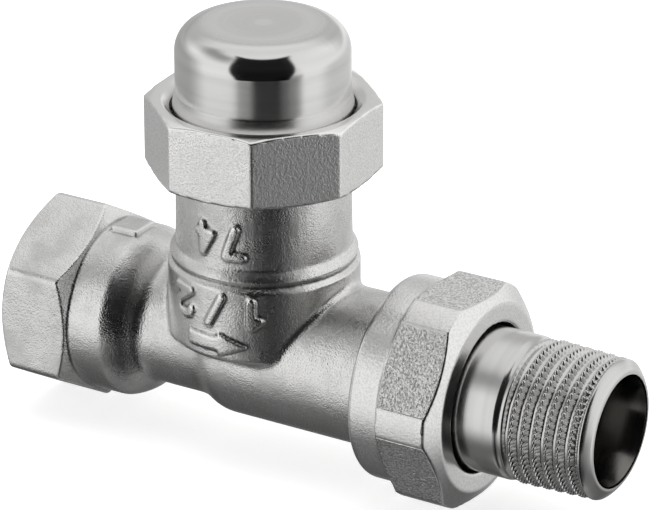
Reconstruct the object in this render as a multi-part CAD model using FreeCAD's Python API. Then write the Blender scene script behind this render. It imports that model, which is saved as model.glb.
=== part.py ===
"""Straight-pattern lockshield radiator valve in nickel-plated brass.

Millimetres. The origin is the centre of the inlet's mouth, +X runs along the pipe
from the inlet to the tailpipe, and +Z points from the pipe to the domed cap.
"""
import FreeCAD, Part
import math
import os

V = FreeCAD.Vector

# Clearances between pieces
run_gap = 0.05            # radial gap of a shaft or thread in its bore
seal_gap = 0.05           # gap round a seal in its groove or seat
tool_over = 1.0           # how far a cutting tool runs past a face

# Places along the pipe axis
spindle_x = 37.6          # spindle axis, from the inlet's mouth
outlet_length = 31.4      # spindle axis to the body's outlet face
tail_length = 25.95       # tailpipe, from its seat to its threaded end

# Inlet hexagon, collar and shoulder
hex_flats = 26.5          # across flats
hex_corner_start = 2.0    # where the chamfer leaves the corners
hex_corner_end = 10.4
hex_chamfer_deg = 30.0    # from the plane across the pipe
hex_turn_deg = 1.0        # turn of its flats from upright
hex_corner_round = 1.2
inlet_thread_r = 10.5
inlet_thread_length = 11.5
inlet_countersink = 0.5
collar_r = 12.7
collar_length = 6.9       # from the hexagon's corners to the shoulder
shoulder_length = 4.65
shoulder_bulge = 0.45     # how far the shoulder's arc stands out of its chord
land_start = 2.6          # flat land left by trimming the forging, from the hexagon's corners
land_width = 5.0
land_height = 0.6
land_length = 4.4

# Pipe on either side of the barrel
inlet_pipe_r = 9.5
outlet_pipe_r = 11.05
step_start = 7.9          # before the spindle axis, where the pipe starts to widen
step_end = 1.2
step_lean = 0.2           # share of its rise in the first and last quarter
pipe_wall = 2.2
outlet_wall = 3.25

# Barrel and neck
barrel_r = 13.75
barrel_bottom = 2.2
barrel_edge = 1.0         # rounding of the barrel's lower edge
barrel_top = 13.4
ledge_groove_r = 13.05    # bottom of the groove between the barrel and the shoulder
ledge_groove_z = 14.15
shoulder_rim_r = 13.5     # lower rim of the shoulder, over the groove
shoulder_rim_z = 14.85
shoulder_top = 16.3       # where the barrel has drawn in to the neck
shoulder_round = 0.08     # bulge of the shoulder, as a share of its height
neck_foot_r = 12.6
neck_r = 12.45
neck_top = 27.1
blend_r = 1.2             # fillet where the barrel meets the pipe on either side

# Seat and chambers
seat_floor = 4.6
seat_lip = 0.8
seat_lip_wall = 1.0
seat_bore_r = 5.2
plate_thickness = 3.0     # wall between the two waterways
chamber_r = 9.8
chamber_wall = 2.4        # between the chambers and the waterways beside them
bonnet_thread_r = 10.3
bonnet_thread_length = 9.1    # from the neck's top down

# Raised marks on the front
mark_height = 0.45
neck_mark_height = 0.4
arrow_length = 9.4
arrow_width = 3.4
arrow_head_length = 4.2
arrow_shaft_width = 2.0
mark_x = 38.0             # middle of the marks, from the inlet's mouth
size_digit = (2.8, 3.9)   # width and height of one numeral, between the middles of its strokes
size_pitch = 5.6
size_mark_z = 10.3
arrow_z = 5.2
batch_digit = (2.4, 4.2)
batch_pitch = 4.6
batch_mark_z = 20.4
digit_stroke = 1.1

# Octagonal bonnet
octagon_flats = 31.3
octagon_turn_deg = 3.4    # turn of its flats from the pipe axis
octagon_height = 10.7
octagon_top_ring_r = 15.55
octagon_bottom_ring_r = 15.35
octagon_chamfer_deg = 20.0
plug_length = 8.5         # threaded plug below the octagon
plug_chamfer = 0.5
bonnet_ring_section = 1.7
bonnet_ring_below = 0.9   # from the octagon's underside to the groove
recess_rim_r = 14.4
recess_r = 13.1
recess_chamfer = 1.2
recess_depth = 3.2
spigot_r = 10.4
spigot_height = 3.7       # above the octagon's top
stem_thread_r = 6.0
stem_thread_depth = 5.4   # length of the stem's thread in the plug
stem_bore_r = 7.0

# Shut-off spindle
spindle_lift = 3.6
disc_r = 8.1
disc_thickness = 2.2
stem_r = 4.9
stem_thread_below = 11.6  # from the neck's top to the foot of the stem's thread
head_below = 2.1          # from the neck's top to the foot of the head
head_length = 7.0
socket_flats = 8.0
socket_depth = 4.0
nose_r = 3.3
nose_below_seal = 1.0
stem_ring_section = 1.5
stem_ring_pitch = 2.9
stem_ring_start = 0.8

# Seat seal and its retainer
seal_thickness = 2.0
seal_r = 7.3
retainer_r = 4.6

# Preset screw and throttle cone
preset_lift = 3.0
preset_head_r = 2.9
preset_head_length = 4.0
preset_head_below = 5.1   # from the neck's top to the foot of its head
preset_thread_r = 2.4
preset_stem_r = 1.8
preset_socket_flats = 3.0
preset_socket_depth = 1.8
preset_ring_section = 1.0
preset_ring_start = 0.7
cone_top_r = 4.7
cone_bottom_r = 3.4
cone_height = 3.1
cone_below_nose = 3.45    # nose to cone with the preset screw fully down

# Retaining ring
retaining_height = 0.8
retaining_inner_r = 6.1
retaining_outer_r = 7.8
retaining_gap = 3.0
retaining_above = 0.5     # above the head of the open spindle

# Cap and gasket
cap_r = 12.4
cap_foot_r = 12.8
cap_height = 13.7
cap_flat_r = 8.4
cap_edge_height = 4.0
cap_band_height = 2.0     # straight band at the foot
cap_cone_height = 1.9     # cone from the band to the side
cap_top_wall = 2.0
cap_hollow_r = 7.4
cap_foot_gap = 0.5        # above the recess floor
gasket_thickness = 1.3
gasket_wall = 2.4
cap_foot_chamfer = 0.4

# Union nut
nut_flats = 30.0
nut_corner_r = 16.3
nut_collar_r = 14.78
nut_reach = 9.2           # how far it reaches back over the body's outlet face
nut_collar_length = 5.1
nut_hex_length = 8.0      # to where the chamfer leaves the corners
nut_chamfer_deg = 30.0
nut_turn_deg = 2.3        # turn of its flats from level
nut_face_r = 13.6
nut_hole_r = 10.85
nut_edge = 0.9            # rounding of the collar's back edge
nut_step = 0.45           # cone from the collar to the hexagon

# Pipe threads
pipe_thread_pitch = 1.814
thread_flank_deg = 27.5

# Male thread under the nut
union_thread_r = 13.1
union_thread_length = 7.4
union_thread_shoulder = 0.6   # cone from the pipe to the thread
union_thread_depth = 0.95

# Tailpipe
tail_bore_r = 7.83
tail_neck_r = 10.3
tail_thread_r = 10.48
tail_thread_length = 13.7
tail_thread_depth = 1.0
tail_chamfer_length = 2.6
tail_chamfer_bulge = 0.25
tail_end_r = 8.95
tail_bore_chamfer = 0.25
flange_r = 12.4
flange_thickness = 2.3
tail_ring_section = 1.6
tail_ring_r = 9.3         # middle of the seal on the flange's face


def outline(start, *steps):
    """Closed wire in the XZ plane. A step is (x, z), or (x, z, x, z) for an arc by way of its first point."""
    edges = []
    here = V(start[0], 0, start[1])
    first = here
    for step in steps:
        there = V(step[-2], 0, step[-1])
        if len(step) == 4:
            edges.append(Part.Arc(here, V(step[0], 0, step[1]), there).toShape())
        else:
            edges.append(Part.LineSegment(here, there).toShape())
        here = there
    if here.distanceToPoint(first) > 1e-6:
        edges.append(Part.LineSegment(here, first).toShape())
    return Part.Wire(edges)


def turned_x(start, *steps):
    """Solid turned about the pipe axis; points are (x, radius)."""
    return Part.Face(outline(start, *steps)).revolve(V(0, 0, 0), V(1, 0, 0), 360)


def turned_z(start, *steps):
    """Solid turned about the spindle axis; points are (radius, z)."""
    shape = Part.Face(outline(start, *steps)).revolve(V(0, 0, 0), V(0, 0, 1), 360)
    shape.translate(V(spindle_x, 0, 0))
    return shape


def rod_x(radius, x_start, x_end):
    return Part.makeCylinder(radius, x_end - x_start, V(x_start, 0, 0), V(1, 0, 0))


def rod_z(radius, z_start, z_end):
    return Part.makeCylinder(radius, z_end - z_start, V(spindle_x, 0, z_start), V(0, 0, 1))


def box(x_start, x_end, y_half, z_start, z_end):
    return Part.makeBox(x_end - x_start, 2 * y_half, z_end - z_start, V(x_start, -y_half, z_start))


def prism(sides, flats, centre, direction, length, turn_deg=0.0):
    """Regular prism, by its size across flats, with a flat at turn_deg from its first direction."""
    corner_r = flats / 2 / math.cos(math.pi / sides)
    points = []
    for i in range(sides + 1):
        angle = 2 * math.pi * (i + 0.5) / sides + math.radians(turn_deg)
        across, along = corner_r * math.cos(angle), corner_r * math.sin(angle)
        if direction.x:
            points.append(centre + V(0, -across, along))
        else:
            points.append(centre + V(across, along, 0))
    return Part.Face(Part.makePolygon(points)).extrude(direction * length)


def ring_seal(section, middle_r, centre, direction):
    return Part.makeTorus(middle_r, section / 2, centre, direction)


def one_solid(shape):
    """The fused or cut shape without seams between faces of one surface."""
    clean = shape.removeSplitter()
    return clean.Solids[0] if len(clean.Solids) == 1 else clean


# Places that follow from the sizes above
tan_hex = math.tan(math.radians(hex_chamfer_deg))
hex_corner_r = hex_flats / 2 / math.cos(math.pi / 6)
hex_face_r = hex_corner_r - hex_corner_start / tan_hex
collar_start = hex_corner_end + (hex_corner_r - collar_r) * tan_hex
collar_end = hex_corner_end + collar_length
shoulder_end = collar_end + shoulder_length
body_end = spindle_x + outlet_length
inlet_bore_r = inlet_pipe_r - pipe_wall
outlet_bore_r = outlet_pipe_r - outlet_wall
seat_top = seat_floor + seat_lip
plate_foot = seat_floor - plate_thickness
octagon_top = neck_top + octagon_height
bonnet_thread_foot = neck_top - bonnet_thread_length
plug_foot = neck_top - plug_length
plug_r = bonnet_thread_r - run_gap
bonnet_ring_z = neck_top - bonnet_ring_below - bonnet_ring_section / 2
spigot_top = octagon_top + spigot_height
recess_floor = octagon_top - recess_depth
seal_foot = seat_top + seal_gap
seal_top = seal_foot + seal_thickness
nose_foot = seal_foot - nose_below_seal
disc_top = seal_top + seal_gap + disc_thickness
stem_foot = neck_top - stem_thread_below
head_foot = neck_top - head_below
preset_head_foot = neck_top - preset_head_below
head_top = head_foot + head_length
retaining_foot = head_top + spindle_lift + retaining_above
cap_foot = recess_floor + cap_foot_gap
cap_top = cap_foot + cap_height
gasket_foot = spigot_top + seal_gap
gasket_top = gasket_foot + gasket_thickness
cone_top = nose_foot - cone_below_nose
preset_foot = cone_top - cone_height
union_thread_start = body_end - union_thread_length
nut_back = body_end - nut_reach
nut_hex_start = nut_back + nut_collar_length
nut_hex_end = nut_hex_start + nut_hex_length
nut_bore_r = union_thread_r + 2 * run_gap
nut_face = nut_hex_end + (nut_corner_r - nut_face_r) * math.tan(math.radians(nut_chamfer_deg))
flange_start = body_end + seal_gap
nut_wall = flange_start + flange_thickness + seal_gap
tail_end = flange_start + tail_length


def inlet_hexagon():
    """Hexagon with two flats facing front and back, cut at both ends by 30 degree cones."""
    length = collar_start + tool_over
    prism_part = prism(6, hex_flats, V(0, 0, 0), V(1, 0, 0), length, hex_turn_deg)
    corners = [edge for edge in prism_part.Edges if edge.BoundBox.XLength > length / 2]
    prism_part = prism_part.makeFillet(hex_corner_round, corners)
    cone = turned_x(
        (0, 0), (0, hex_face_r), (hex_corner_start, hex_corner_r), (hex_corner_end, hex_corner_r),
        (collar_start, collar_r), (length, collar_r - tool_over / tan_hex), (length, 0))
    return prism_part.common(cone)


def collar_land():
    """Low flat land on top of the collar."""
    start = hex_corner_end + land_start
    top = collar_r + land_height
    return box(start, start + land_length, land_width / 2, collar_r / 2, top)


def thread_grooves(start, end, top_r, depth):
    """Steps of a male thread's grooves, as rings: each pitch has a crest, a flank, a root and a flank."""
    flank = depth * math.tan(math.radians(thread_flank_deg))
    crest = (pipe_thread_pitch - 2 * flank) / 2
    steps = []
    while start + pipe_thread_pitch < end:
        steps.append((start + crest, top_r))
        steps.append((start + crest + flank, top_r - depth))
        steps.append((start + 2 * crest + flank, top_r - depth))
        steps.append((start + pipe_thread_pitch, top_r))
        start += pipe_thread_pitch
    return steps


def pipe_outside():
    """Collar, convex shoulder, inlet pipe, step and outlet pipe with its male thread."""
    bend_x = (collar_end + shoulder_end) / 2
    bend_r = (collar_r + inlet_pipe_r) / 2
    chord = math.hypot(shoulder_length, collar_r - inlet_pipe_r)
    bend_x += shoulder_bulge * (collar_r - inlet_pipe_r) / chord
    bend_r += shoulder_bulge * shoulder_length / chord
    step_from, step_to = spindle_x - step_start, spindle_x - step_end
    step_x = (step_from + step_to) / 2
    step_r = (inlet_pipe_r + outlet_pipe_r) / 2
    lean = (outlet_pipe_r - inlet_pipe_r) * step_lean
    steps = [
        (hex_corner_start, collar_r),
        (collar_end, collar_r),
        (bend_x, bend_r, shoulder_end, inlet_pipe_r),
        (step_from, inlet_pipe_r),
        ((step_from + step_x) / 2, step_r - 2 * lean, step_x, step_r),
        ((step_to + step_x) / 2, step_r + 2 * lean, step_to, outlet_pipe_r),
        (union_thread_start, outlet_pipe_r),
        (union_thread_start + union_thread_shoulder, union_thread_r),
    ]
    steps += thread_grooves(steps[-1][0], body_end - union_thread_depth, union_thread_r, union_thread_depth)
    steps.append((body_end - union_thread_depth, union_thread_r))
    steps.append((body_end, union_thread_r - union_thread_depth))
    steps.append((body_end, 0))
    return turned_x((hex_corner_start, 0), *steps)


def barrel_outside():
    """Barrel with a rounded lower edge, a groove over it, a drawn-in shoulder and the neck."""
    round_mid = barrel_edge * (1 - math.sqrt(0.5))
    shoulder_mid_z = (shoulder_rim_z + shoulder_top) / 2
    shoulder_mid_r = (shoulder_rim_r + neck_foot_r) / 2 + shoulder_round * (shoulder_top - shoulder_rim_z)
    return turned_z(
        (0, barrel_bottom),
        (barrel_r - barrel_edge, barrel_bottom),
        (barrel_r - round_mid, barrel_bottom + round_mid, barrel_r, barrel_bottom + barrel_edge),
        (barrel_r, barrel_top), (ledge_groove_r, ledge_groove_z), (shoulder_rim_r, shoulder_rim_z),
        (shoulder_mid_r, shoulder_mid_z, neck_foot_r, shoulder_top),
        (neck_r, neck_top),
        (0, neck_top))


def raised(face):
    """Bar pattern of a face, from the middle of the barrel to the front."""
    return face.extrude(V(0, -2 * barrel_r, 0))


def bar(x0, z0, x1, z1):
    """Face of a numeral's stroke between two points, with round ends."""
    length = math.hypot(x1 - x0, z1 - z0)
    ux, uz = (x1 - x0) / length * digit_stroke / 2, (z1 - z0) / length * digit_stroke / 2
    return Part.Face(outline(
        (x0 - uz, z0 + ux), (x1 - uz, z1 + ux), (x1 + ux, z1 + uz, x1 + uz, z1 - ux),
        (x0 + uz, z0 - ux), (x0 - ux, z0 - uz, x0 - uz, z0 + ux)))


# Lines of the plain numerals, in shares of their width and height from the middle
numeral_lines = {
    "1": [(-0.25, 0.28), (0.1, 0.5), (0.1, -0.5)],
    "2": [(-0.5, 0.22), (-0.34, 0.43), (0, 0.5), (0.34, 0.43), (0.5, 0.22), (0.4, 0),
          (-0.5, -0.5), (0.5, -0.5)],
    "4": [(0.2, -0.5), (0.2, 0.5), (-0.5, -0.2), (0.5, -0.2)],
    "7": [(-0.5, 0.5), (0.5, 0.5), (-0.1, -0.5)],
    "/": [(-0.4, -0.55), (0.4, 0.55)],
}


def numerals(text, centre_z, digit_size, pitch):
    """Plain numerals that read from the other side, so that they stand on their heads here."""
    width, height = digit_size
    faces = []
    for i, digit in enumerate(text):
        middle_x = mark_x + ((len(text) - 1) / 2 - i) * pitch
        points = [(middle_x - x * width, centre_z - z * height) for x, z in numeral_lines[digit]]
        for here, there in zip(points, points[1:]):
            faces.append(bar(*here, *there))
    return raised(faces[0].multiFuse(faces[1:]).removeSplitter())


def flow_arrow(centre_x, centre_z):
    """Arrow that points along the flow, towards the outlet."""
    tail, tip = centre_x - arrow_length / 2, centre_x + arrow_length / 2
    head = tip - arrow_head_length
    wide, shaft = arrow_width / 2, arrow_shaft_width / 2
    return raised(Part.Face(outline(
        (tail, centre_z + shaft), (head, centre_z + shaft), (head, centre_z + wide), (tip, centre_z),
        (head, centre_z - wide), (head, centre_z - shaft), (tail, centre_z - shaft))))


def raised_marks():
    """Size numerals and flow arrow on the barrel, and batch numerals on the neck."""
    shell = rod_z(barrel_r + mark_height, barrel_bottom + barrel_edge, barrel_top)
    neck_mark_r = neck_foot_r + neck_mark_height
    neck_shell = rod_z(neck_mark_r, shoulder_top, neck_top)
    size_mark = numerals("1/2", size_mark_z, size_digit, size_pitch)
    arrow = flow_arrow(mark_x, arrow_z)
    batch_mark = numerals("74", batch_mark_z, batch_digit, batch_pitch)
    return [size_mark.common(shell), arrow.common(shell), batch_mark.common(neck_shell)]


def waterways():
    """Inlet thread and bore, chamber under the seat, chamber over it, and outlet bore."""
    thread = turned_x(
        (-tool_over, 0), (-tool_over, inlet_thread_r + inlet_countersink + tool_over),
        (inlet_countersink, inlet_thread_r), (inlet_thread_length, inlet_thread_r),
        (inlet_thread_length + inlet_thread_r - inlet_bore_r, inlet_bore_r),
        (inlet_thread_length + inlet_thread_r - inlet_bore_r, 0))
    inlet_bore = rod_x(inlet_bore_r, inlet_thread_length, spindle_x - chamber_r - chamber_wall)
    under_seat = rod_x(inlet_bore_r, inlet_thread_length, spindle_x + seat_bore_r + seat_lip_wall)
    below = box(0, body_end, 2 * barrel_r, -2 * barrel_r, plate_foot)
    seat_bore = rod_z(seat_bore_r, 0, seat_top + tool_over)
    over_seat = turned_z(
        (0, seat_floor), (chamber_r, seat_floor), (chamber_r, bonnet_thread_foot),
        (bonnet_thread_r, bonnet_thread_foot), (bonnet_thread_r, neck_top + tool_over),
        (0, neck_top + tool_over))
    lip = rod_z(seat_bore_r + seat_lip_wall, seat_floor - tool_over, seat_top)
    outlet_from = spindle_x + seat_bore_r + seat_lip_wall + chamber_wall
    outlet_bore = rod_x(outlet_bore_r, outlet_from, body_end + tool_over)
    window = rod_x(outlet_bore_r, spindle_x + seat_bore_r + seat_lip_wall, outlet_from + tool_over)
    above = box(0, body_end, 2 * barrel_r, seat_floor, 2 * barrel_r)
    return [thread, inlet_bore, under_seat.common(below), over_seat.cut(lip), seat_bore,
            outlet_bore, window.common(above)]


def pipe_and_barrel():
    """Pipe and barrel in one, with a fillet along the seam between them."""
    joined = pipe_outside().fuse(barrel_outside()).removeSplitter()
    seam = [edge for edge in joined.Edges
            if edge.Curve.TypeId == "Part::GeomBSplineCurve" and edge.BoundBox.ZLength > run_gap]
    return joined.makeFillet(blend_r, seam)


def valve_body():
    outside = pipe_and_barrel().fuse([inlet_hexagon(), collar_land()] + raised_marks())
    return outside.cut(waterways())


def bonnet():
    """Octagon with a recess for the cap's foot, a threaded spigot inside it and a plug below."""
    tan_oct = math.tan(math.radians(octagon_chamfer_deg))
    corner_r = octagon_flats / 2 / math.cos(math.pi / 8)
    head = prism(8, octagon_flats, V(spindle_x, 0, neck_top), V(0, 0, 1), octagon_height, octagon_turn_deg)
    drum = turned_z(
        (0, neck_top), (octagon_bottom_ring_r, neck_top),
        (corner_r, neck_top + (corner_r - octagon_bottom_ring_r) * tan_oct),
        (corner_r, octagon_top - (corner_r - octagon_top_ring_r) * tan_oct),
        (octagon_top_ring_r, octagon_top), (0, octagon_top))
    head = head.common(drum)
    groove_r = plug_r - bonnet_ring_section + seal_gap
    plug = turned_z(
        (0, plug_foot), (plug_r - plug_chamfer, plug_foot), (plug_r, plug_foot + plug_chamfer),
        (plug_r, bonnet_ring_z - bonnet_ring_section / 2 - seal_gap),
        (groove_r, bonnet_ring_z - bonnet_ring_section / 2 - seal_gap),
        (groove_r, bonnet_ring_z + bonnet_ring_section / 2 + seal_gap),
        (plug_r, bonnet_ring_z + bonnet_ring_section / 2 + seal_gap),
        (plug_r, neck_top + tool_over), (0, neck_top + tool_over))
    recess = turned_z(
        (0, recess_floor), (recess_r, recess_floor), (recess_r, octagon_top - recess_chamfer),
        (recess_rim_r, octagon_top), (recess_rim_r, octagon_top + tool_over), (0, octagon_top + tool_over))
    spigot = rod_z(spigot_r, recess_floor - tool_over, spigot_top)
    thread_top = plug_foot + stem_thread_depth
    retaining_top = retaining_foot + retaining_height
    bore = turned_z(
        (0, plug_foot - tool_over), (stem_thread_r + run_gap, plug_foot - tool_over),
        (stem_thread_r + run_gap, thread_top), (stem_bore_r, thread_top),
        (stem_bore_r, retaining_foot - run_gap), (retaining_outer_r + run_gap, retaining_foot - run_gap),
        (retaining_outer_r + run_gap, retaining_top + run_gap), (stem_bore_r, retaining_top + run_gap),
        (stem_bore_r, spigot_top + tool_over), (0, spigot_top + tool_over))
    return head.fuse(plug).cut(recess).fuse(spigot).cut(bore)


def bonnet_o_ring():
    radius = bonnet_ring_section / 2 - seal_gap
    return ring_seal(2 * radius, plug_r - bonnet_ring_section / 2 + seal_gap / 2,
                     V(spindle_x, 0, bonnet_ring_z), V(0, 0, 1))


def stem_ring_places():
    """Heights of the two seals in the spindle's head."""
    first = head_foot + stem_ring_start + stem_ring_section / 2
    return first, first + stem_ring_pitch


def shutoff_spindle():
    """Hollow spindle: nose, closing disc, threaded stem and sealed head with a hexagon socket."""
    head_r = stem_bore_r - run_gap
    groove_r = head_r - stem_ring_section + seal_gap
    disc_foot = seal_top + seal_gap
    steps = [
        (nose_r, nose_foot), (nose_r, disc_foot), (disc_r, disc_foot), (disc_r, disc_top),
        (stem_r, disc_top), (stem_r, stem_foot), (stem_thread_r, stem_foot + stem_thread_r - stem_r),
        (stem_thread_r, head_foot), (head_r, head_foot)]
    for z in stem_ring_places():
        low, high = z - stem_ring_section / 2 - seal_gap, z + stem_ring_section / 2 + seal_gap
        steps += [(head_r, low), (groove_r, low), (groove_r, high), (head_r, high)]
    steps += [(head_r, head_top), (0, head_top)]
    solid = turned_z((0, nose_foot), *steps)
    preset_top = head_top - socket_depth
    bore = turned_z(
        (0, nose_foot - tool_over), (preset_stem_r + 2 * run_gap, nose_foot - tool_over),
        (preset_stem_r + 2 * run_gap, disc_top), (preset_thread_r + run_gap, disc_top),
        (preset_thread_r + run_gap, preset_head_foot - run_gap),
        (preset_head_r + run_gap, preset_head_foot - run_gap),
        (preset_head_r + run_gap, preset_top + tool_over), (0, preset_top + tool_over))
    socket = prism(6, socket_flats, V(spindle_x, 0, preset_top), V(0, 0, 1), socket_depth + tool_over)
    return solid.cut([bore, socket])


def stem_ring(index):
    head_r = stem_bore_r - run_gap
    return ring_seal(stem_ring_section - 2 * seal_gap, head_r - stem_ring_section / 2 + seal_gap / 2,
                     V(spindle_x, 0, stem_ring_places()[index]), V(0, 0, 1))


def seat_seal():
    return rod_z(seal_r, seal_foot, seal_top).cut(rod_z(nose_r + seal_gap, seal_foot, seal_top))


def seal_retainer():
    return rod_z(retainer_r, nose_foot, seal_foot).cut(rod_z(nose_r + run_gap, nose_foot, seal_foot))


def preset_screw():
    """Inner screw: plain stem, thread, sealed head with a small hexagon socket."""
    head_top_z = preset_head_foot + preset_head_length
    low = preset_head_foot + preset_ring_start
    high = low + preset_ring_section + 2 * seal_gap
    groove_r = preset_head_r - preset_ring_section + seal_gap
    solid = turned_z(
        (0, preset_foot), (preset_stem_r, preset_foot), (preset_stem_r, disc_top + preset_lift),
        (preset_thread_r, disc_top + preset_lift + preset_thread_r - preset_stem_r),
        (preset_thread_r, preset_head_foot), (preset_head_r, preset_head_foot), (preset_head_r, low),
        (groove_r, low), (groove_r, high), (preset_head_r, high),
        (preset_head_r, head_top_z), (0, head_top_z))
    socket = prism(6, preset_socket_flats, V(spindle_x, 0, head_top_z - preset_socket_depth),
                   V(0, 0, 1), preset_socket_depth + tool_over)
    return solid.cut(socket)


def preset_o_ring():
    z = preset_head_foot + preset_ring_start + preset_ring_section / 2 + seal_gap
    middle_r = preset_head_r - preset_ring_section / 2 + seal_gap / 2
    return ring_seal(preset_ring_section - 2 * seal_gap, middle_r, V(spindle_x, 0, z), V(0, 0, 1))


def throttle_cone():
    """Cone on the preset screw's end; it narrows the seat's bore when the spindle is lifted."""
    cone = turned_z((0, preset_foot), (cone_bottom_r, preset_foot), (cone_top_r, cone_top), (0, cone_top))
    return cone.cut(rod_z(preset_stem_r + run_gap, preset_foot - tool_over, cone_top + tool_over))


def retaining_ring():
    """Open snap ring in the bonnet's bore."""
    top = retaining_foot + retaining_height
    ring = rod_z(retaining_outer_r, retaining_foot, top).cut(rod_z(retaining_inner_r, retaining_foot, top))
    return ring.cut(box(spindle_x, spindle_x + 2 * retaining_outer_r, retaining_gap / 2, retaining_foot, top))


def protective_cap():
    """Domed cap: banded foot, cone, straight side, rounded edge and flat crown; threaded inside."""
    band_top = cap_foot + cap_band_height
    side_foot = band_top + cap_cone_height
    side_top = cap_top - cap_edge_height
    bend = math.sqrt(0.5)
    edge_r = cap_r - cap_flat_r
    outside = turned_z(
        (0, cap_foot), (cap_foot_r - cap_foot_chamfer, cap_foot), (cap_foot_r, cap_foot + cap_foot_chamfer),
        (cap_foot_r, band_top), (cap_r, side_foot), (cap_r, side_top),
        (cap_flat_r + bend * edge_r, side_top + bend * cap_edge_height, cap_flat_r, cap_top), (0, cap_top))
    hollow = turned_z(
        (0, cap_foot - tool_over), (spigot_r + run_gap, cap_foot - tool_over),
        (spigot_r + run_gap, gasket_top + seal_gap), (cap_hollow_r, gasket_top + seal_gap),
        (cap_hollow_r, cap_top - cap_top_wall), (0, cap_top - cap_top_wall))
    return outside.cut(hollow)


def cap_gasket():
    outer_r = spigot_r - run_gap
    return rod_z(outer_r, gasket_foot, gasket_top).cut(rod_z(outer_r - gasket_wall, gasket_foot, gasket_top))


def union_nut():
    """Round collar, hexagon with its corners turned off, chamfered front and threaded bore."""
    round_mid = nut_edge * (1 - math.sqrt(0.5))
    collar = turned_x(
        (nut_back, 0), (nut_back, nut_collar_r - nut_edge),
        (nut_back + round_mid, nut_collar_r - round_mid, nut_back + nut_edge, nut_collar_r),
        (nut_hex_start + tool_over, nut_collar_r), (nut_hex_start + tool_over, 0))
    drum = turned_x(
        (nut_hex_start, 0), (nut_hex_start, nut_collar_r), (nut_hex_start + nut_step, nut_corner_r),
        (nut_hex_end, nut_corner_r), (nut_face, nut_face_r), (nut_face, 0))
    block = prism(6, nut_flats, V(nut_hex_start, 0, 0), V(1, 0, 0), nut_face - nut_hex_start,
                  180 / 6 + nut_turn_deg)
    bore = turned_x(
        (nut_back - tool_over, 0), (nut_back - tool_over, nut_bore_r), (nut_wall, nut_bore_r),
        (nut_wall, nut_hole_r), (nut_face + tool_over, nut_hole_r), (nut_face + tool_over, 0))
    return collar.fuse(block.common(drum)).cut(bore)


def tailpipe():
    """Flange held by the nut, plain neck, threaded end with a rounded rim, and bore."""
    thread_from = tail_end - tail_thread_length
    groove_depth = tail_ring_section - seal_gap
    groove_in, groove_out = tail_ring_r - tail_ring_section / 2, tail_ring_r + tail_ring_section / 2
    chamfer_mid = (tail_end - tail_chamfer_length / 2, (tail_end_r + tail_thread_r) / 2 + tail_chamfer_bulge)
    solid = turned_x(
        (flange_start, tail_bore_r),
        (flange_start, groove_in - seal_gap), (flange_start + groove_depth, groove_in - seal_gap),
        (flange_start + groove_depth, groove_out + seal_gap), (flange_start, groove_out + seal_gap),
        (flange_start, flange_r), (flange_start + flange_thickness, flange_r),
        (flange_start + flange_thickness, tail_neck_r),
        (thread_from - (tail_thread_r - tail_neck_r), tail_neck_r),
        (thread_from, tail_thread_r),
        *thread_grooves(thread_from, tail_end - tail_chamfer_length, tail_thread_r, tail_thread_depth),
        (tail_end - tail_chamfer_length, tail_thread_r),
        (chamfer_mid[0], chamfer_mid[1], tail_end, tail_end_r),
        (tail_end, tail_bore_r + tail_bore_chamfer), (tail_end - tail_bore_chamfer, tail_bore_r))
    return solid


def tailpipe_o_ring():
    centre = flange_start + tail_ring_section / 2
    return ring_seal(tail_ring_section - 2 * seal_gap, tail_ring_r, V(centre, 0, 0), V(1, 0, 0))


pieces = {
    "valve_body": valve_body,
    "bonnet": bonnet,
    "bonnet_o_ring": bonnet_o_ring,
    "shutoff_spindle": shutoff_spindle,
    "spindle_o_ring_lower": lambda: stem_ring(0),
    "spindle_o_ring_upper": lambda: stem_ring(1),
    "seat_seal": seat_seal,
    "seal_retainer": seal_retainer,
    "preset_screw": preset_screw,
    "preset_o_ring": preset_o_ring,
    "throttle_cone": throttle_cone,
    "retaining_ring": retaining_ring,
    "protective_cap": protective_cap,
    "cap_gasket": cap_gasket,
    "union_nut": union_nut,
    "tailpipe": tailpipe,
    "tailpipe_o_ring": tailpipe_o_ring,
}

os.makedirs("parts", exist_ok=True)
for name, make in pieces.items():
    shape = one_solid(make())
    print(name, "solids", len(shape.Solids), "valid", shape.isValid(), "volume", round(shape.Volume, 2))
    shape.exportStep("parts/" + name + ".step")
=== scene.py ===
import math
from functools import reduce

import bpy
import numpy as np
from mathutils import Matrix, Vector


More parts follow.
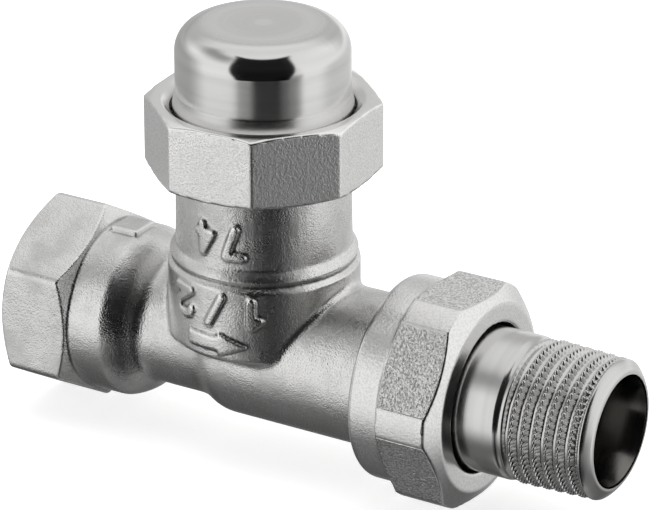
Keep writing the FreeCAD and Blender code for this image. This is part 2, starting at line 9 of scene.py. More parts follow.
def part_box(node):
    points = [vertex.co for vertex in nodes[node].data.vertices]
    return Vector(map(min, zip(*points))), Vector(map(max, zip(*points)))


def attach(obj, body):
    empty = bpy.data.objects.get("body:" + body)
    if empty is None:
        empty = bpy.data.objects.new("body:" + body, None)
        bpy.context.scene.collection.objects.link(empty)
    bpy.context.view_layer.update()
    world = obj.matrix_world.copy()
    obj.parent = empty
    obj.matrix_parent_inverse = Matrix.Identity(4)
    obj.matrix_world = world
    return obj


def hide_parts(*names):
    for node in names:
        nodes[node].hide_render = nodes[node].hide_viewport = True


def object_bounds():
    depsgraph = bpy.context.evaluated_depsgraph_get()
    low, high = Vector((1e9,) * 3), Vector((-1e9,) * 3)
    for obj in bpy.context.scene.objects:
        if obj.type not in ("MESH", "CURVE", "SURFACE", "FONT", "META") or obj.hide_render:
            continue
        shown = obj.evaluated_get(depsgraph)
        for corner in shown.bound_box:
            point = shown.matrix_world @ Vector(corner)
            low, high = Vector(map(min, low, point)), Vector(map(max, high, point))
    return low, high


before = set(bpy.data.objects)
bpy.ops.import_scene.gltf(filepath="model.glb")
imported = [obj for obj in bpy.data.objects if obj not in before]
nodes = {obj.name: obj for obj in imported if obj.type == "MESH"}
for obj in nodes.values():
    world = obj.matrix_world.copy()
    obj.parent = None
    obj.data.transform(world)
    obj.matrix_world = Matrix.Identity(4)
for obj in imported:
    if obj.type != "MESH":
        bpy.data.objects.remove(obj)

cad_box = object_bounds()
MM = 0.001
SPINDLE_X = 37.6


def mm(*values):
    return tuple(v * MM for v in values)


def new_object(name, data):
    piece = bpy.data.objects.new(name, data)
    bpy.context.scene.collection.objects.link(piece)
    return piece


# Node graphs
# The two inputs and the output of a Mix node, by the kind of data that it mixes
MIX_SOCKETS = {"FLOAT": (2, 3, 0), "RGBA": (6, 7, 2)}
NOISE_MIDDLE = 0.5


class Graph:
    """Short calls that add and link shader nodes. A value is a number, a colour or a node's output."""

    def __init__(self, tree):
        self.nodes = tree.nodes
        self.links = tree.links

    def put(self, node, socket, value):
        """Sets an input of a node, or links it."""
        target = node.inputs[socket]
        if isinstance(value, bpy.types.NodeSocket):
            self.links.new(value, target)
        else:
            target.default_value = value

    def add(self, kind, settings=None, **inputs):
        node = self.nodes.new(kind)
        for key, value in (settings or {}).items():
            setattr(node, key, value)
        for socket, value in inputs.items():
            self.put(node, socket, value)
        return node

    def math(self, operation, *values):
        node = self.add("ShaderNodeMath", {"operation": operation})
        for index, value in enumerate(values):
            self.put(node, index, value)
        return node.outputs[0]

    def plus(self, a, b):
        return self.math("ADD", a, b)

    def times(self, a, b):
        return self.math("MULTIPLY", a, b)

    def length(self, a, b):
        """Length of a flat vector."""
        return self.math("SQRT", self.plus(self.times(a, a), self.times(b, b)))

    def swing(self, noise, amount):
        """How far a noise is from its middle, times amount."""
        return self.times(self.math("SUBTRACT", noise, NOISE_MIDDLE), amount)

    def split(self, vector):
        """The x, y and z of a vector."""
        return self.add("ShaderNodeSeparateXYZ", None, Vector=vector).outputs

    def ramp(self, value, low, high, to_low=0.0, to_high=1.0):
        """to_low where value is low, to_high where it is high, and a smooth run between them."""
        node = self.add("ShaderNodeMapRange", {"interpolation_type": "SMOOTHSTEP"})
        for index, item in enumerate((value, low, high, to_low, to_high)):
            self.put(node, index, item)
        return node.outputs[0]

    def below(self, value, low, high):
        """1 up to low, 0 from high on."""
        return self.ramp(value, low, high, 1.0, 0.0)

    def noise(self, vector, scale, detail=2.0, roughness=0.5):
        """Noise with about scale spots in a metre."""
        node = self.add("ShaderNodeTexNoise", None, Vector=vector, Scale=scale, Detail=detail,
                        Roughness=roughness)
        return node.outputs["Fac"]

    def bump(self, height, distance, normal=None):
        """Relief that is distance mm high, on top of the relief that normal has."""
        node = self.add("ShaderNodeBump", None, Height=height, Distance=distance * MM)
        if normal is not None:
            self.put(node, "Normal", normal)
        return node.outputs[0]

    def mix(self, kind, share, a, b):
        node = self.add("ShaderNodeMix", {"data_type": kind})
        first, second, result = MIX_SOCKETS[kind]
        for socket, value in ((0, share), (first, a), (second, b)):
            self.put(node, socket, value)
        return node.outputs[result]

    def blend(self, share, a, b):
        """a where share is 0, b where it is 1, for numbers."""
        return self.mix("FLOAT", share, a, b)

    def colours(self, share, a, b):
        """a where share is 0, b where it is 1, for colours."""
        return self.mix("RGBA", share, with_alpha(a), with_alpha(b))


def with_alpha(colour):
    return colour if isinstance(colour, bpy.types.NodeSocket) else (*colour, 1.0)


def dimmed(colour, share):
    return tuple(v * share for v in colour)


# Materials. Reliefs are in mm and noise scales in spots a metre.
BODY_NICKEL = (0.78, 0.775, 0.765)
OCTAGON_NICKEL = (0.97, 0.965, 0.955)
NUT_NICKEL = (0.96, 0.955, 0.945)
TAIL_NICKEL = (0.69, 0.685, 0.675)
CAP_NICKEL = (0.75, 0.745, 0.735)
# Painted highlight for the body's sharpest edges
EDGE_HIGHLIGHT = (0.95, 0.945, 0.935)
# Painted shade for the body's creases
PAINTED_CREASE_SHADE = (0.16, 0.16, 0.155)
# Painted shade for the inside of the tailpipe's bore
PAINTED_BORE_SHADE = (0.2, 0.195, 0.185)
BRASS = (0.80, 0.60, 0.27)
SPRING_STEEL = (0.35, 0.35, 0.36)
BLACK_RUBBER = (0.02, 0.02, 0.02)
WHITE_GASKET = (0.75, 0.74, 0.70)
RING_SCALE = 3800.0
RING_DRIFT = 0.4


def new_material(name):
    """A material with its graph and shader, and the place of a point on the piece's own axes."""
    material = bpy.data.materials.new(name)
    material.use_nodes = True
    graph = Graph(material.node_tree)
    shader = material.node_tree.nodes["Principled BSDF"]
    point = graph.add("ShaderNodeTexCoord").outputs["Object"]
    return material, graph, shader, point


def lathe(graph, point, axis):
    """A point for noise that draws turning lines, the distance from the axis, and the place along it.

    The turning lines drift by RING_DRIFT mm round the axis, so that they aren't perfect rings."""
    shifted = graph.add("ShaderNodeVectorMath", {"operation": "SUBTRACT"})
    graph.put(shifted, 0, point)
    graph.put(shifted, 1, mm(SPINDLE_X if axis == "z" else 0.0, 0.0, 0.0))
    x, y, z = graph.split(shifted.outputs[0])
    along, side = (z, x) if axis == "z" else (x, z)
    radius = graph.length(side, y)
    drift = graph.times(graph.math("COSINE", graph.math("ARCTAN2", y, side)), RING_DRIFT * MM)
    joined = graph.add("ShaderNodeCombineXYZ", None, X=radius, Y=along, Z=drift)
    return joined.outputs[0], radius, along


def forged(name, colour, rough, wave, grain):
    """Blasted and polished forging under plating: soft waves, fine grain and uneven gloss.

    The mesh's attribute cavity is -1 on its sharpest edges, which get a painted highlight, and 1 in its
    deepest creases, which get painted shade."""
    material, graph, shader, point = new_material(name)
    patches = graph.noise(point, scale=170.0, detail=3.0)
    waves = graph.noise(point, scale=620.0)
    pits = graph.noise(point, scale=4200.0, detail=1.0, roughness=0.6)
    cavity = graph.add("ShaderNodeAttribute", {"attribute_name": "cavity"}).outputs["Fac"]
    tone = graph.plus(graph.times(patches, 0.6), graph.times(pits, 0.4))
    plating = graph.colours(graph.ramp(tone, 0.35, 0.6), dimmed(colour, 0.8), colour)
    # Painted highlight along the sharpest edges
    highlight_share = graph.ramp(cavity, -1.0, -0.3, 0.8, 0.0)
    plating = graph.colours(highlight_share, plating, EDGE_HIGHLIGHT)
    # Painted shade in the creases
    beyond_crease_shade = graph.below(graph.plus(cavity, graph.swing(pits, 0.3)), 0.25, 1.0)
    graph.put(shader, "Base Color", graph.colours(beyond_crease_shade, PAINTED_CREASE_SHADE, plating))
    graph.put(shader, "Metallic", 1.0)
    dull, bright = rough + 0.06, rough - 0.04
    graph.put(shader, "Roughness", graph.blend(graph.ramp(patches, 0.35, 0.65), dull, bright))
    graph.put(shader, "Normal", graph.bump(pits, grain, graph.bump(waves, wave)))
    return material


def turned(name, axis, colour, rough, line, bore=None):
    """Turned metal: fine rings round the axis, with gloss that varies from ring to ring.

    Where bore is given, what lies within that radius in mm gets painted shade, as the inside of a pipe is
    dark."""
    material, graph, shader, point = new_material(name)
    vector, radius = lathe(graph, point, axis)[:2]
    rings = graph.noise(vector, scale=RING_SCALE, detail=3.0, roughness=0.7)
    bands = graph.ramp(graph.noise(vector, scale=420.0), 0.3, 0.7)
    clouds = graph.noise(point, scale=130.0)
    tone = graph.colours(bands, dimmed(colour, 0.9), colour)
    if bore:
        # Painted shade inside the bore
        tone = graph.colours(graph.ramp(radius, *mm(bore, bore + 0.25)), PAINTED_BORE_SHADE, tone)
    graph.put(shader, "Base Color", tone)
    graph.put(shader, "Metallic", 1.0)
    dull, bright = rough + 0.05, rough - 0.03
    graph.put(shader, "Roughness", graph.plus(graph.blend(bands, dull, bright), graph.swing(clouds, 0.1)))
    graph.put(shader, "Normal", graph.bump(rings, line))
    return material


def hexagon_part(name, axis, colour, flats, scale, grain, fleck):
    """Coarsely blasted flats; finer collar and corner bands; turned chamfers, ends and bores.

    flats gives the radii in mm between which a wall that faces sideways is one of the flats. scale is
    that of the grains, grain their relief, and fleck the tone of the pits, as a share of the colour."""
    material, graph, shader, point = new_material(name)
    vector, radius = lathe(graph, point, axis)[:2]
    normal = graph.split(graph.add("ShaderNodeTexCoord").outputs["Normal"])
    lean = graph.math("ABSOLUTE", normal["Z" if axis == "z" else "X"])
    low, high = flats
    outside = graph.ramp(radius, *mm(low - 1.6, low - 1.5))
    side = graph.times(graph.below(lean, 0.15, 0.25), outside)
    flat = graph.times(graph.ramp(radius, *mm(low, low + 0.06)), graph.below(radius, *mm(high - 0.08, high)))
    coarse = graph.times(side, flat)
    pits = graph.noise(point, scale=scale, roughness=0.6)
    dents = graph.noise(point, scale=2200.0, detail=1.0)
    rings = graph.noise(vector, scale=3600.0, detail=3.0, roughness=0.7)
    patches = graph.noise(point, scale=160.0)
    pit_tone = graph.below(pits, 0.40, 0.56)
    grain_tone = graph.blend(coarse, graph.math("MULTIPLY_ADD", pit_tone, 0.2, 0.28), pit_tone)
    graph.put(shader, "Base Color", graph.colours(grain_tone, colour, dimmed(colour, fleck)))
    graph.put(shader, "Metallic", 1.0)
    gloss = graph.blend(coarse, graph.blend(side, 0.22, 0.27), 0.29)
    graph.put(shader, "Roughness", graph.plus(gloss, graph.swing(patches, 0.12)))
    share = graph.plus(graph.times(coarse, 0.82), graph.times(side, 0.18))
    grains = graph.times(graph.plus(pits, graph.times(dents, 0.6)), share)
    turning = graph.times(rings, graph.blend(side, 0.06, 0.0))
    graph.put(shader, "Normal", graph.bump(graph.plus(grains, turning), grain))
    return material


def polished_cap():
    """Satin crown and foot band, with a polished rounded edge and side between them."""
    crown_radius, crown_height = mm(8.3, 9.3), mm(47.0, 48.2)
    foot_height, side_height = mm(38.6, 39.2), mm(43.8, 44.8)
    satin_rough, side_rough, edge_rough = 0.27, 0.15, 0.08
    material, graph, shader, point = new_material("cap_nickel")
    vector, radius, along = lathe(graph, point, "z")
    crown = graph.times(graph.below(radius, *crown_radius), graph.ramp(along, *crown_height))
    satin = graph.math("MAXIMUM", crown, graph.below(along, *foot_height))
    rings = graph.noise(vector, scale=RING_SCALE, detail=3.0, roughness=0.7)
    bands = graph.ramp(graph.noise(vector, scale=500.0), 0.3, 0.7)
    clouds = graph.noise(point, scale=140.0)
    graph.put(shader, "Base Color", graph.colours(bands, dimmed(CAP_NICKEL, 0.9), CAP_NICKEL))
    graph.put(shader, "Metallic", graph.blend(crown, 1.0, 0.6))
    polish = graph.blend(graph.ramp(along, *side_height), side_rough, edge_rough)
    gloss = graph.blend(satin, polish, satin_rough)
    graph.put(shader, "Roughness", graph.plus(gloss, graph.times(clouds, 0.05)))
    height = graph.times(rings, graph.blend(satin, 0.5, 1.0))
    graph.put(shader, "Normal", graph.bump(height, 0.004))
    return material


def rubber(name, colour, rough):
    """Soft or pressed sheet with fine lighter specks."""
    material, graph, shader, point = new_material(name)
    specks = graph.noise(point, scale=3000.0)
    lighter = tuple(min(1.0, v * 1.5 + 0.01) for v in colour)
    graph.put(shader, "Base Color", graph.colours(specks, colour, lighter))
    graph.put(shader, "Roughness", graph.blend(specks, rough - 0.08, rough + 0.08))
    graph.put(shader, "Normal", graph.bump(specks, 0.01))
    return material


body_metal = forged("forged_nickel", BODY_NICKEL, rough=0.255, wave=0.05, grain=0.06)
octagon_metal = hexagon_part("octagon_nickel", "z", OCTAGON_NICKEL, flats=(15.5, 17.2), scale=4200.0,
                             grain=0.045, fleck=0.82)
nut_metal = hexagon_part("nut_nickel", "x", NUT_NICKEL, flats=(14.9, 16.2), scale=3200.0,
                         grain=0.21, fleck=0.56)
cap_metal = polished_cap()
tail_metal = turned("tail_nickel", "x", TAIL_NICKEL, rough=0.2, line=0.005, bore=7.9)
brass = turned("turned_brass", "z", BRASS, rough=0.25, line=0.003)
ring_steel = turned("ring_steel", "z", SPRING_STEEL, rough=0.35, line=0.004)
black_rubber = rubber("black_rubber", BLACK_RUBBER, rough=0.5)
white_gasket = rubber("white_gasket", WHITE_GASKET, rough=0.7)

finishes = (
    (body_metal, ("valve_body",)),
    (octagon_metal, ("bonnet",)),
    (nut_metal, ("union_nut",)),
    (cap_metal, ("protective_cap",)),
    (tail_metal, ("tailpipe",)),
    (brass, ("shutoff_spindle", "seal_retainer", "preset_screw", "throttle_cone")),
    (ring_steel, ("retaining_ring",)),
    (white_gasket, ("cap_gasket",)),
    (black_rubber, ("bonnet_o_ring", "spindle_o_ring_lower", "spindle_o_ring_upper", "seat_seal",
                    "preset_o_ring", "tailpipe_o_ring")),
)
for finish, names in finishes:
    for name in names:
        data = nodes[name].data
        data.materials.clear()
        data.materials.append(finish)


# Soft forged and deburred edges. Cells are in mm.
HALF_WAY = 0.5


def even_cells(piece, cell):
    """Gives a solid an even mesh of small cells."""
    remesh = piece.modifiers.new("even_cells", "REMESH")
    remesh.mode = "VOXEL"
    remesh.voxel_size = cell * MM
    remesh.use_smooth_shade = True


def thinned(piece, kept):
    """Thins a mesh where it is flat, to a share of its triangles."""
    thin = piece.modifiers.new("thinned", "DECIMATE")
    thin.ratio = kept


def soften(node, cell, passes, kept):
    """Rounds a solid's edges."""
    piece = nodes[node]
    even_cells(piece, cell)
    smooth = piece.modifiers.new("rounded", "SMOOTH")
    smooth.factor, smooth.iterations = HALF_WAY, passes
    thinned(piece, kept)


soften("bonnet", cell=0.22, passes=3, kept=0.6)
soften("union_nut", cell=0.22, passes=3, kept=0.7)


def even_mesh(node, cell):
    """A node's surface as an even mesh of small cells."""
    piece = nodes[node].copy()
    bpy.context.scene.collection.objects.link(piece)
    even_cells(piece, cell)
    bpy.context.view_layer.update()
    solved = piece.evaluated_get(bpy.context.evaluated_depsgraph_get())
    mesh = bpy.data.meshes.new_from_object(solved)
    bpy.data.objects.remove(piece)
    return mesh


class Net:
    """The points of a mesh in mm, and which of them are joined."""

    def __init__(self, mesh):
        self.mesh = mesh
        self.count = len(mesh.vertices)
        points = np.empty(self.count * 3)
        mesh.vertices.foreach_get("co", points)
        self.points = points.reshape(-1, 3) / MM
        ends = np.empty(len(mesh.edges) * 2, dtype=np.int64)
        mesh.edges.foreach_get("vertices", ends)
        self.one, self.two = ends[0::2], ends[1::2]
        self.near = np.bincount(self.one, minlength=self.count) + np.bincount(self.two, minlength=self.count)

    def middle(self, points):
        """The middle of each point's neighbours."""
        total = np.empty_like(points)
        for k in range(3):
            total[:, k] = (np.bincount(self.one, points[self.two, k], self.count)
                           + np.bincount(self.two, points[self.one, k], self.count))
        return total / self.near[:, None]

    def relaxed(self, passes, share):
        """The points, each moved by its share towards the middle of its neighbours, pass by pass."""
        points = self.points.copy()
        for _ in range(passes):
            points += (self.middle(points) - points) * share
        return points

    def write(self):
        self.mesh.vertices.foreach_set("co", (self.points * MM).ravel())
        self.mesh.update()

    def hollows(self, passes):
        """How far each point lies below the smoothed surface, in mm."""
        normals = np.empty(self.count * 3)
        self.mesh.vertices.foreach_get("normal", normals)
        return np.einsum("ij,ij->i", self.relaxed(passes, HALF_WAY) - self.points, normals.reshape(-1, 3))


# The body. Its lengths are in mm.
INLET_HEXAGON_END = 13.0
SHOULDER_FOOT = 22.7
SHOULDER_HOLD = 1.6
SHOULDER_FADE = 1.6
MARKED_RADIUS = 15.0
MARKED_FROM = 1.5
NUT_THREAD_START = 61.0
BODY_CELL = 0.2
BODY_KEPT = 0.23
EDGE_PASSES = 14
FOOT_PASSES = 90
FOOT_SHARE = 0.6
CAVITY_PASSES = 10
# Depth in mm of a hollow that gets the full painted shade
FULL_CAVITY = 0.07


def rounding(points):
    """Share of each pass: most on the plain forging, less on the hexagon and the marks, least on the
    thread under the union nut."""
    x, y, z = points.T
    share = np.full(len(points), 0.25)
    share[x < INLET_HEXAGON_END] = 0.14
    share[(np.hypot(x - SPINDLE_X, y) < MARKED_RADIUS) & (z > MARKED_FROM)] = 0.12
    share[x > NUT_THREAD_START] = 0.08
    return share


def shoulder_foot(points):
    """1 where the inlet collar's shoulder runs into the pipe, 0 from 2.6 mm on either side of it."""
    away = np.abs(points[:, 0] - SHOULDER_FOOT)
    return np.clip(SHOULDER_HOLD - away / SHOULDER_FADE, 0.0, 1.0)


def forged_body():
    """The body with rounded edges, a soft run from shoulder to pipe, and edges and creases elsewhere marked
    for painted highlights and shade.
    """
    mesh = even_mesh("valve_body", BODY_CELL)
    net = Net(mesh)
    net.points = net.relaxed(EDGE_PASSES, rounding(net.points)[:, None])
    net.points = net.relaxed(FOOT_PASSES, FOOT_SHARE * shoulder_foot(net.points)[:, None])
    net.write()
    # cavity: -1 on sharp edges, which get a painted highlight, 1 in creases, which get painted shade; no
    # painted shade at the shoulder's foot
    cavity = np.clip(net.hollows(CAVITY_PASSES) / FULL_CAVITY, -1.0, 1.0 - shoulder_foot(net.points))
    mesh.attributes.new("cavity", "FLOAT", "POINT").data.foreach_set("value", cavity.astype(np.float32))
    mesh.shade_smooth()
    mesh.materials.clear()
    mesh.materials.append(body_metal)
    piece = new_object("forged_body", mesh)
    thinned(piece, BODY_KEPT)
    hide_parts("valve_body")
    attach(piece, "body")


forged_body()


# Threads. The pitch is in mm, and half a crest and a flank are shares of half a pitch.
PITCH = 1.814
HALF_CREST = 0.14
FLANK = 0.6


def round_angles(sides):
    return np.linspace(0.0, math.tau, sides, endpoint=False)


def ring_mesh(name, stations, sides, material):
    """Closed tube about the pipe axis. A station is its x and its radius, a number or one for each angle."""
    x, radius = (np.array([np.full(sides, station[k]) for station in stations]) for k in range(2))
    angle = round_angles(sides)
    points = np.stack([x, -radius * np.cos(angle), radius * np.sin(angle)], axis=-1).reshape(-1, 3) * MM
    row, column = np.meshgrid(np.arange(len(stations)), np.arange(sides), indexing="ij")
    after, beside = (row + 1) % len(stations), (column + 1) % sides
    faces = np.stack([row * sides + column, row * sides + beside, after * sides + beside,
                      after * sides + column], axis=-1).reshape(-1, 4)
    mesh = bpy.data.meshes.new(name)
    mesh.from_pydata(points.tolist(), [], faces.tolist())
    mesh.validate()
    mesh.shade_smooth()
    mesh.materials.append(material)
    return new_object(name, mesh)


def thread_depth(x, angle, start):
    """0 on the crest and 1 in the root of a right-hand thread."""
    phase = (x - start) / PITCH - angle / math.tau
    away = np.abs(phase - np.round(phase)) * 2.0
    return np.clip((away - HALF_CREST) / FLANK, 0.0, 1.0)


# The tailpipe, in mm. Its thread's radius falls by 1 mm in TAPER mm.
TAIL_SIDES = 576
FLANGE_RADIUS = 12.4
FLANGE_LENGTH = 2.3
SEAL_GROOVE_INSIDE = 8.45
SEAL_GROOVE_OUTSIDE = 10.15
SEAL_GROOVE_DEPTH = 1.55
NECK_RADIUS = 10.3
NECK_MARGIN = 0.3
NECK_STATIONS = 10
BORE_RADIUS = 7.83
BORE_EASE = 0.05
BORE_EASE_LENGTH = 0.3
BORE_CHAMFER = 0.25
CREST_RADIUS = 10.48
CREST_WEAR = 0.06
THREAD_HEIGHT = 1.08
TAPER = 32.0
THREAD_STEP = 0.13
THREAD_FROM_END = 13.7
THREAD_TO_END = 2.6
THREAD_MARGIN = 1.0
THREAD_OVERRUN = 1.2
FIRST_STATION = 0.55
RISE_FROM = 0.4
RISE_LENGTH = 1.3
FALL_LENGTH = 0.9
RUN_OUT_RADIUS = 10.05
NOTCHES = 64
NOTCH_DEPTH = 0.55
SEAM_ANGLE = math.radians(-8.0)
SEAM_HALF_WIDTH = math.radians(3.2)
# Outlines: the run-out groove as x from the thread's start and radius, and the rounded nose
# as x from the thread's end and radius from the last crest
RUN_OUT_GROOVE = ((-0.7, 10.27), (-0.45, 10.1), (-0.15, 9.98), (0.15, 9.98), (0.4, 10.08))
NOSE = ((1.35, -0.08), (1.6, -0.3), (1.9, -0.62), (2.2, -1.02), (2.42, -1.3), (2.55, -1.5), (2.6, -1.75),
        (2.6, -2.2))


def crest_radius(along):
    """Radius of the taper thread's crests, along from its start."""
    return CREST_RADIUS - CREST_WEAR - along / TAPER


def taper_thread(thread_from, thread_to):
    """Stations of the helix, which rises from the groove, has notched crests, and fades at its end."""
    angle = round_angles(TAIL_SIDES)
    tooth = np.abs(((angle * NOTCHES / math.tau) % 1.0) * 2.0 - 1.0)
    notch_share = np.clip(tooth * 1.4 - 0.4, 0.0, 1.0)
    seam = np.abs((angle - SEAM_ANGLE + math.pi) % math.tau - math.pi) < SEAM_HALF_WIDTH
    notch_share[seam] = 0.0
    stations = []
    for x in np.arange(thread_from + FIRST_STATION, thread_to + THREAD_OVERRUN, THREAD_STEP):
        depth = thread_depth(x, angle, thread_from)
        rise = np.clip((x - thread_from - RISE_FROM) / RISE_LENGTH, 0.0, 1.0)
        fall = np.clip((thread_to + THREAD_OVERRUN - x) / FALL_LENGTH, 0.0, 1.0)
        top = crest_radius(x - thread_from)
        radius = top - THREAD_HEIGHT * fall * depth
        radius -= (1.0 - rise) * np.clip(radius - RUN_OUT_RADIUS, 0.0, None)
        stations.append((x, radius - NOTCH_DEPTH * notch_share * (1.0 - depth) * rise * fall))
    return stations


def threaded_tail():
    """Flange with its seal's groove, neck, run-out groove, taper thread, rounded end and bore."""
    start, end = (corner[0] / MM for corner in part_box("tailpipe"))
    thread_from, thread_to = end - THREAD_FROM_END, end - THREAD_TO_END
    last_crest = crest_radius(thread_to - thread_from + THREAD_OVERRUN)
    groove_floor, flange_end = start + SEAL_GROOVE_DEPTH, start + FLANGE_LENGTH
    stations = [(start, BORE_RADIUS + BORE_EASE), (start, SEAL_GROOVE_INSIDE),
                (groove_floor, SEAL_GROOVE_INSIDE), (groove_floor, SEAL_GROOVE_OUTSIDE),
                (start, SEAL_GROOVE_OUTSIDE), (start, FLANGE_RADIUS),
                (flange_end, FLANGE_RADIUS), (flange_end, NECK_RADIUS)]
    neck = np.linspace(flange_end + NECK_MARGIN, thread_from - THREAD_MARGIN, NECK_STATIONS)
    stations += [(x, NECK_RADIUS) for x in neck]
    stations += [(thread_from + x, radius) for x, radius in RUN_OUT_GROOVE]
    stations += taper_thread(thread_from, thread_to)
    stations += [(thread_to + x, last_crest + radius) for x, radius in NOSE]
    stations += [(end, BORE_RADIUS + BORE_CHAMFER), (end - BORE_CHAMFER, BORE_RADIUS),
                 ((start + end) / 2, BORE_RADIUS), (start + BORE_EASE_LENGTH, BORE_RADIUS)]
    return ring_mesh("threaded_tailpipe", stations, TAIL_SIDES, tail_metal)


# The inlet's thread, in mm
INLET_SIDES = 288
INLET_WALL = 10.49
INLET_THREAD_FROM = 0.6
INLET_THREAD_LEAD = 0.02
INLET_THREAD_TO = 11.3
INLET_ROOT = 10.46
INLET_THREAD_HEIGHT = 1.1
INLET_STEP = 0.16
INLET_FADE_FROM = 0.4
INLET_FADE_LENGTH = 1.4
INLET_FADE_TO = 11.5


def inlet_thread():
    """Helical ridges on the wall of the inlet's hole."""
    angle = round_angles(INLET_SIDES)
    stations = [(INLET_THREAD_TO, INLET_WALL), (INLET_THREAD_FROM, INLET_WALL)]
    for x in np.arange(INLET_THREAD_FROM + INLET_THREAD_LEAD, INLET_THREAD_TO, INLET_STEP):
        fade = min(1.0, (x - INLET_FADE_FROM) / INLET_FADE_LENGTH) * min(1.0, INLET_FADE_TO - x)
        ridge = 1.0 - thread_depth(x, angle, 0.0)
        stations.append((x, INLET_ROOT - INLET_THREAD_HEIGHT * ridge * fade))
    return ring_mesh("inlet_thread_ridges", stations, INLET_SIDES, tail_metal)


tail = threaded_tail()
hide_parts("tailpipe")
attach(tail, "tail")
ridges = inlet_thread()
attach(ridges, "body")


# Camera at the photograph's place
right = Vector((0.85748, 0.51452, 0.0))
up = Vector((-0.20928, 0.34878, 0.91354))
back = right.cross(up)
camera_place = Vector(mm(320.21, -453.52, 251.27))
camera_data = bpy.data.cameras.new("camera")
camera_data.sensor_fit = "HORIZONTAL"
camera_data.sensor_width = 36.0
camera_data.lens = 225.8
camera_data.clip_start, camera_data.clip_end = 0.01, 20.0
camera = new_object("camera", camera_data)
turn = Matrix((right, up, back)).transposed().to_4x4()
camera.matrix_world = Matrix.Translation(camera_place) @ turn
bpy.context.scene.camera = camera


# Floor. Its half side is in metres, and the gap between it and the object in mm.
FLOOR_HALF = 3.0
FLOOR_GAP = 0.05
FLOOR_DARK = (0.93, 0.93, 0.925)
FLOOR_LIGHT = (0.96, 0.96, 0.955)
FLOOR_GLOW = 0.7
WHITE = (1.0, 1.0, 1.0, 1.0)


def floor():
    """Pale matt floor, lit a little from within, which the metal doesn't mirror."""
    z = cad_box[0][2] - FLOOR_GAP * MM
    corners = [(x, y, z) for x, y in ((-FLOOR_HALF, -FLOOR_HALF), (FLOOR_HALF, -FLOOR_HALF),
                                      (FLOOR_HALF, FLOOR_HALF), (-FLOOR_HALF, FLOOR_HALF))]
    mesh = bpy.data.meshes.new("floor")
    mesh.from_pydata(corners, [], [(0, 1, 2, 3)])
    material, graph, shader, point = new_material("pale_floor")
    clouds = graph.noise(point, scale=3.0)
    graph.put(shader, "Base Color", graph.colours(clouds, FLOOR_DARK, FLOOR_LIGHT))
    graph.put(shader, "Roughness", 1.0)
    graph.put(shader, "Specular IOR Level", 0.0)
    graph.put(shader, "Emission Color", WHITE)
    graph.put(shader, "Emission Strength", FLOOR_GLOW)
    mesh.materials.append(material)
    piece = new_object("floor", mesh)
    piece.visible_glossy = False


floor()


# Studio light, in metres and watts
LIGHT_SIDE = 0.7
LIGHT_POWER = 1.6


def top_light():
    """Soft light from above and a little behind, which the metal doesn't mirror."""
    place, target = Vector((0.05, 0.15, 0.9)), Vector((0.04, 0.0, 0.0))
    light = bpy.data.lights.new("top_light", "AREA")
    light.shape = "RECTANGLE"
    light.size, light.size_y = LIGHT_SIDE, LIGHT_SIDE
    light.energy = LIGHT_POWER
    piece = new_object("top_light", light)
    piece.location = place
    piece.rotation_euler = (target - place).to_track_quat("-Z", "Y").to_euler()
    piece.visible_glossy = False


top_light()


# World. Azimuths are in degrees from +X, with the camera at -59, and heights are sines of elevations.
CAMERA_AZIMUTH = -59.0
ACROSS = (0.857, 0.515)
NEARLY_UPRIGHT = 0.001
SEEN_BACKDROP = 0.96


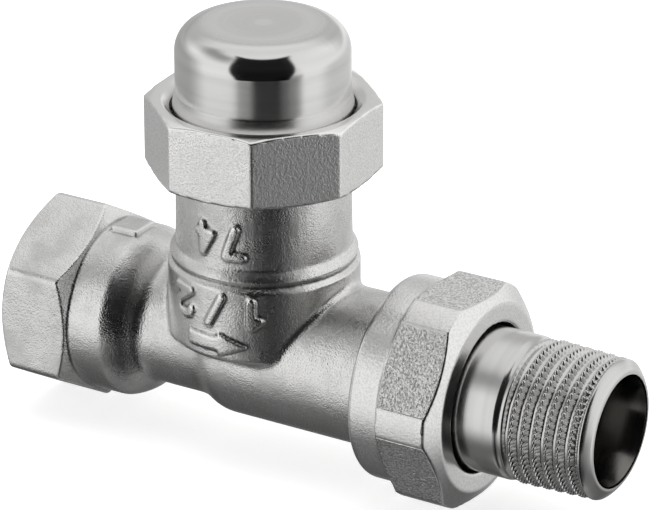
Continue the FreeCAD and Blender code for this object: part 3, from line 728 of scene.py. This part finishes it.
class Sky(Graph):
    """The world's graph, with the x, y and z of the direction that is looked in."""

    def __init__(self, tree):
        super().__init__(tree)
        self.nodes.clear()
        self.x, self.y, self.z = self.split(self.add("ShaderNodeTexCoord").outputs["Generated"])
        self.flat = self.math("MAXIMUM", self.length(self.x, self.y), NEARLY_UPRIGHT)

    def along(self, flat_x, flat_y):
        """How far the direction goes along a level direction."""
        return self.plus(self.times(self.x, flat_x), self.times(self.y, flat_y))

    def toward(self, azimuth):
        """Cosine of the angle between the direction and an azimuth, seen from above."""
        angle = math.radians(azimuth)
        return self.math("DIVIDE", self.along(math.cos(angle), math.sin(angle)), self.flat)

    def sector(self, middle, inner, outer):
        """1 within inner degrees of an azimuth, 0 beyond outer degrees."""
        return self.ramp(self.toward(middle), math.cos(math.radians(outer)), math.cos(math.radians(inner)))

    def patch_edge(self):
        """1 between two sides that curve in towards top and bottom, 0 beyond them."""
        aside = self.math("ABSOLUTE", self.along(*ACROSS))
        bend = self.math("MULTIPLY_ADD", self.z, -0.53, 0.2)
        half_width = self.math("MULTIPLY_ADD", self.z, bend, 0.667)
        return self.ramp(self.math("SUBTRACT", half_width, aside), 0.0, 0.05)


def studio():
    """Even light that falls off downwards, with a little from straight below, and darker parts that
    the metal mirrors."""
    world = bpy.data.worlds.new("studio")
    bpy.context.scene.world = world
    world.use_nodes = True
    sky = Sky(world.node_tree)
    z = sky.z
    # How much darker each part is, and the masks that bound it. The fifth runs down from the patch
    # before the camera, which is the sixth.
    darker_parts = (
        (0.05, sky.sector(-122.0, 18.0, 40.0), sky.below(z, -0.3, -0.05)),
        (0.26, sky.sector(66.0, 20.0, 50.0), sky.below(z, -0.2, 0.1)),
        (0.42, sky.sector(-54.0, 24.0, 50.0), sky.below(z, 0.1, 0.5)),
        (0.6, sky.sector(-24.0, 8.0, 22.0), sky.below(z, -0.3, 0.0)),
        (0.88, sky.sector(-54.0, 12.0, 24.0), sky.below(z, -0.36, -0.30)),
        (0.985, sky.patch_edge(), sky.ramp(sky.toward(CAMERA_AZIMUTH), 0.2, 0.3),
         sky.ramp(z, -0.38, -0.33), sky.below(z, 0.90, 0.94)),
        (0.55, sky.sector(165.0, 20.0, 60.0), sky.below(z, 0.0, 0.4)),
        (0.6, sky.sector(-145.0, 10.0, 50.0), sky.ramp(z, 0.40, 0.74), sky.below(z, 0.78, 0.92)),
        (0.4, sky.sector(122.0, 30.0, 70.0), sky.ramp(z, 0.05, 0.25), sky.below(z, 0.5, 0.85)),
        (0.1, sky.ramp(z, 0.5, 0.95)),
    )
    level = sky.plus(sky.ramp(z, -0.76, -0.30, 0.18, 1.0), sky.ramp(z, -0.96, -0.82, 0.16, 0.0))
    for share, *masks in darker_parts:
        mask = reduce(sky.times, masks)
        level = sky.times(level, sky.math("SUBTRACT", 1.0, sky.times(mask, share)))
    level = sky.blend(sky.add("ShaderNodeLightPath").outputs["Is Camera Ray"], level, SEEN_BACKDROP)
    background = sky.add("ShaderNodeBackground", None, Color=WHITE, Strength=level)
    sky.add("ShaderNodeOutputWorld", None, Surface=background.outputs[0])


studio()
bpy.context.scene.view_settings.view_transform = "Standard"
